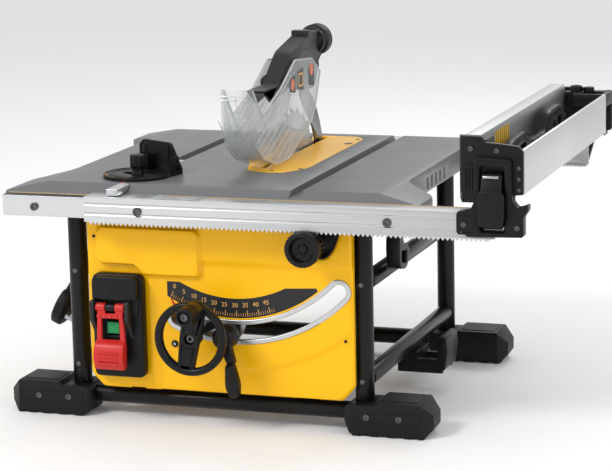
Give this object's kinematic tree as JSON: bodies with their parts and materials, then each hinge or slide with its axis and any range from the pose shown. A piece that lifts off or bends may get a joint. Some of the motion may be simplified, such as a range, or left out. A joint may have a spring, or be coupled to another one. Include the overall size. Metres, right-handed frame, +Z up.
{
  "type": "portable table saw",
  "caption": "Portable table saw on a tube stand: rack-driven sliding rails with rip fence, tilting and lifting blade under a clear guard, mitre gauge.",
  "frame": {"origin": "middle of the bounding box in X and Y, on the floor under the feet", "axes": "+X to the right seen by the operator at the front, +Y to the back, +Z up"},
  "size_m": [0.76, 0.654, 0.505],
  "materials": {
    "tube": "satin black powder coat",
    "cast_table": "ground cast metal, grey",
    "yellow_plastic": "moulded, fine texture",
    "aluminium": "brushed extrusion",
    "black_plastic": "moulded, fine texture",
    "grey_plastic": "moulded, fine texture",
    "red_plastic": "moulded",
    "green_plastic": "moulded",
    "clear_plastic": "clear moulded polycarbonate",
    "rubber": "matte",
    "steel": "machined"
  },
  "bodies": {
    "base": {"front_left_leg": "tube", "front_right_leg": "tube", "rear_left_leg": "tube", "rear_right_leg": "tube", "front_lower_tube": "tube", "rear_lower_tube": "tube", "left_lower_side_tube": "tube", "left_upper_side_tube": "tube", "right_lower_side_tube": "tube", "right_upper_side_tube": "tube", "front_left_foot": "rubber", "front_right_foot": "rubber", "rear_left_foot": "rubber", "rear_right_foot": "rubber", "power_cord": "rubber", "plug_cord": "rubber", "cord_coil": "rubber", "power_plug": "rubber", "table": "cast_table", "throat_plate": "yellow_plastic", "front_panel": "yellow_plastic", "housing_shell": "yellow_plastic", "front_fixed_rail": "aluminium", "rear_fixed_rail": "aluminium", "slot_bezel": "aluminium", "switch_housing": "black_plastic", "storage_bracket": "black_plastic"},
    "rails": {"front_sliding_rail": "aluminium", "rear_sliding_rail": "aluminium", "rip_scale_indicator": "clear_plastic", "fence_beam": "aluminium", "fence_front_bracket": "black_plastic", "fence_rear_bracket": "black_plastic"},
    "pinion": {"fine_adjust_knob": "black_plastic", "pinion_shaft": "steel"},
    "lock_lever": {"rail_lock_lever": "black_plastic"},
    "front_latch": {"front_fence_latch": "black_plastic"},
    "rear_latch": {"rear_fence_latch": "black_plastic"},
    "narrow_fence": {"narrow_fence_plate": "aluminium"},
    "stick": {"push_stick": "black_plastic"},
    "tilt_carriage": {"tilt_frame": "steel", "bevel_pointer": "red_plastic", "blade_shroud": "black_plastic"},
    "bevel_lever": {"bevel_lock_lever": "black_plastic"},
    "wheel": {"handwheel": "black_plastic"},
    "crank": {"crank_knob": "black_plastic"},
    "screw": {"elevation_screw": "steel"},
    "arbor_carriage": {"gear_housing": "steel", "motor": "black_plastic", "riving_knife": "steel", "guard_arm": "grey_plastic"},
    "blade": {"saw_blade": "steel", "arbor_shaft": "steel"},
    "link": {"shield_link": "grey_plastic"},
    "shield": {"guard_shield": "clear_plastic"},
    "gauge_bar": {"miter_bar": "aluminium"},
    "gauge_head": {"miter_head": "black_plastic"},
    "gauge_knob": {"miter_knob": "black_plastic"},
    "paddle": {"stop_paddle": "red_plastic"},
    "button": {"start_button": "green_plastic"}
  },
  "joints": [
    {"name": "bevel_tilt", "type": "hinge", "parent": "base", "child": "tilt_carriage", "pos_m": [-0.047, 0, 0.337], "axis": [0, -1, 0], "range_deg": [0, 45]},
    {"name": "height_slide", "type": "slide", "parent": "tilt_carriage", "child": "arbor_carriage", "axis": [0, 0, 1], "range_m": [-0.065, 0]},
    {"name": "handwheel_turn", "type": "hinge", "parent": "tilt_carriage", "child": "wheel", "pos_m": [-0.0842, -0.259, 0.1335], "axis": [0, 1, 0], "range_deg": [-1801, 1]},
    {"name": "screw_turn", "type": "hinge", "parent": "tilt_carriage", "child": "screw", "pos_m": [-0.0842, -0.099, 0.2], "axis": [0, 0, 1], "range_deg": [-1801, 1]},
    {"name": "crank_spin", "type": "hinge", "parent": "wheel", "child": "crank", "pos_m": [-0.075, -0.309, 0.173], "axis": [0, 1, 0], "continuous": true},
    {"name": "bevel_lock_turn", "type": "hinge", "parent": "tilt_carriage", "child": "bevel_lever", "pos_m": [-0.048, -0.249, 0.1295], "axis": [0, 1, 0], "range_deg": [0, 40]},
    {"name": "blade_spin", "type": "hinge", "parent": "arbor_carriage", "child": "blade", "pos_m": [-0.057, 0.076, 0.29], "axis": [1, 0, 0], "continuous": true},
    {"name": "link_turn", "type": "hinge", "parent": "arbor_carriage", "child": "link", "pos_m": [-0.057, 0.149, 0.45], "axis": [-1, 0, 0], "range_deg": [0, 25.1]},
    {"name": "shield_turn", "type": "hinge", "parent": "link", "child": "shield", "pos_m": [-0.057, 0.121, 0.45], "axis": [-1, 0, 0], "range_deg": [0, 40.1]},
    {"name": "rail_slide", "type": "slide", "parent": "base", "child": "rails", "axis": [1, 0, 0], "range_m": [-0.12, 0.267]},
    {"name": "pinion_turn", "type": "hinge", "parent": "base", "child": "pinion", "pos_m": [0.078, 0, 0.2634], "axis": [0, 1, 0], "range_deg": [-344.5, 765.5]},
    {"name": "rail_lock_turn", "type": "hinge", "parent": "base", "child": "lock_lever", "pos_m": [0.16, -0.137, 0.266], "axis": [1, 0, 0], "range_deg": [0, 40]},
    {"name": "front_latch_turn", "type": "hinge", "parent": "rails", "child": "front_latch", "pos_m": [0.333, -0.285, 0.37], "axis": [-1, 0, 0], "range_deg": [0, 60]},
    {"name": "rear_latch_turn", "type": "hinge", "parent": "rails", "child": "rear_latch", "pos_m": [0.315, 0.3215, 0.357], "axis": [1, 0, 0], "range_deg": [0, 60]},
    {"name": "narrow_fence_lift", "type": "slide", "parent": "rails", "child": "narrow_fence", "axis": [0, 0, 1], "range_m": [0, 0.03]},
    {"name": "push_stick_lift", "type": "slide", "parent": "rails", "child": "stick", "axis": [0, 0, 1], "range_m": [0, 0.07]},
    {"name": "gauge_slide", "type": "slide", "parent": "base", "child": "gauge_bar", "axis": [0, 1, 0], "range_m": [-0.03, 0.26]},
    {"name": "gauge_swing", "type": "hinge", "parent": "gauge_bar", "child": "gauge_head", "pos_m": [-0.202, -0.161, 0.332], "axis": [0, 0, 1], "range_deg": [-35, 60]},
    {"name": "gauge_knob_turn", "type": "hinge", "parent": "gauge_bar", "child": "gauge_knob", "pos_m": [-0.198, -0.171, 0.345], "axis": [0, 0, 1], "continuous": true},
    {"name": "stop_paddle_turn", "type": "hinge", "parent": "base", "child": "paddle", "pos_m": [-0.2115, -0.251, 0.163], "axis": [-1, 0, 0], "range_deg": [0, 60]},
    {"name": "start_button_press", "type": "slide", "parent": "base", "child": "button", "axis": [0, 1, 0], "range_m": [0, 0.003], "stiffness_N_per_m": 400}
  ],
  "couplings": [
    {"joint": "handwheel_turn", "follows": "height_slide", "rad_per_m": 483.32},
    {"joint": "screw_turn", "follows": "height_slide", "rad_per_m": 483.32},
    {"joint": "link_turn", "follows": "bevel_tilt", "ratio": 0.55556},
    {"joint": "shield_turn", "follows": "height_slide", "rad_per_m": -10.741},
    {"joint": "pinion_turn", "follows": "rail_slide", "rad_per_m": 50}
  ]
}
